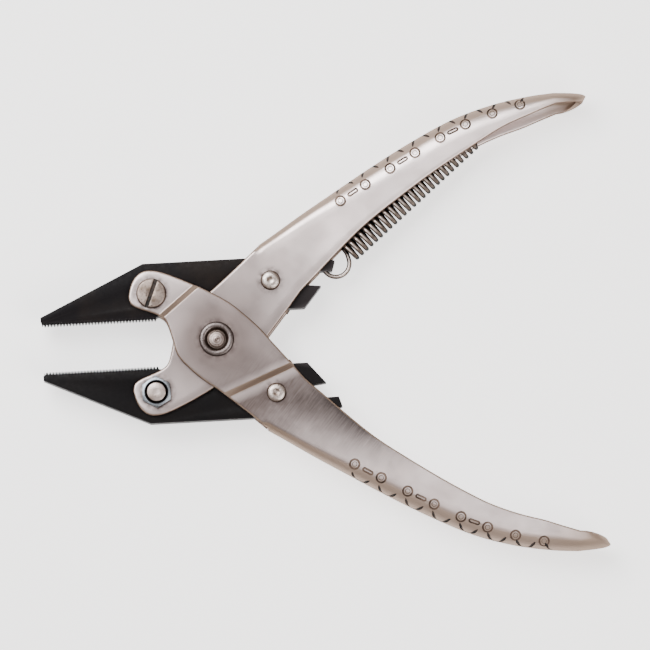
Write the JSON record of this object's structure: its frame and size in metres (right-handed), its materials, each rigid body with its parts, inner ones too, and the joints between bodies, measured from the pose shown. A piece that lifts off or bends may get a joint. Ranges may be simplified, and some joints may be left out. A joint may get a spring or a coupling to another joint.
{
  "type": "parallel-action flat nose pliers",
  "caption": "Parallel-action flat nose pliers with stamped handles, slotted parallel jaws and a wire return spring, standing open.",
  "frame": {"origin": "on the main pivot's axis, in the flat face of the pivot rivet's back head", "axes": "+X towards the handle ends, +Y towards the upper handle, +Z out of the front of the pliers"},
  "size_m": [0.1256, 0.1034, 0.0131],
  "materials": {
    "nickel_plate": "satin nickel plate",
    "black_oxide": "black oxide, matte",
    "bright_steel": "bright turned steel",
    "zinc_plate": "bluish zinc plate",
    "spring_steel": "drawn wire"
  },
  "bodies": {
    "handle_lower": {"handle_lower": "nickel_plate", "pivot_rivet": "bright_steel", "pivot_spacer": "bright_steel", "lower_slot_rivet": "bright_steel", "upper_jaw_screw": "bright_steel", "upper_jaw_nut": "zinc_plate"},
    "handle_upper": {"handle_upper": "nickel_plate", "upper_slot_rivet": "bright_steel", "lower_jaw_screw": "bright_steel", "lower_jaw_nut": "zinc_plate", "spring_anchor_tab": "bright_steel"},
    "jaw_upper": {"jaw_upper": "black_oxide"},
    "jaw_lower": {"jaw_lower": "black_oxide"},
    "return_spring": {"return_spring": "spring_steel"}
  },
  "joints": [
    {"name": "handle_hinge", "type": "hinge", "parent": "handle_lower", "child": "handle_upper", "pos_m": [0, 0, 0.0067], "axis": [0, 0, -1], "range_deg": [0, 37.9], "stiffness_Nm_per_rad": 0.13, "springref_deg": -85.94, "deforming": ["return_spring"]},
    {"name": "upper_jaw_hinge", "type": "hinge", "parent": "handle_lower", "child": "jaw_upper", "pos_m": [-0.01414, 0.01113, 0.0067], "axis": [0, 0, -1], "range_deg": [0, 19]},
    {"name": "lower_jaw_hinge", "type": "hinge", "parent": "handle_upper", "child": "jaw_lower", "pos_m": [-0.01414, -0.01113, 0.0067], "axis": [0, 0, 1], "range_deg": [0, 19]},
    {"name": "spring_slide", "type": "slide", "parent": "handle_upper", "child": "return_spring", "axis": [-0.98, 0.199, 0], "range_m": [0, 0.0075], "deforming": ["return_spring"]}
  ],
  "couplings": [
    {"joint": "upper_jaw_hinge", "follows": "handle_hinge", "ratio": 0.5},
    {"joint": "lower_jaw_hinge", "follows": "handle_hinge", "ratio": 0.5},
    {"joint": "spring_slide", "follows": "handle_hinge", "m_per_rad": 0.0112}
  ]
}
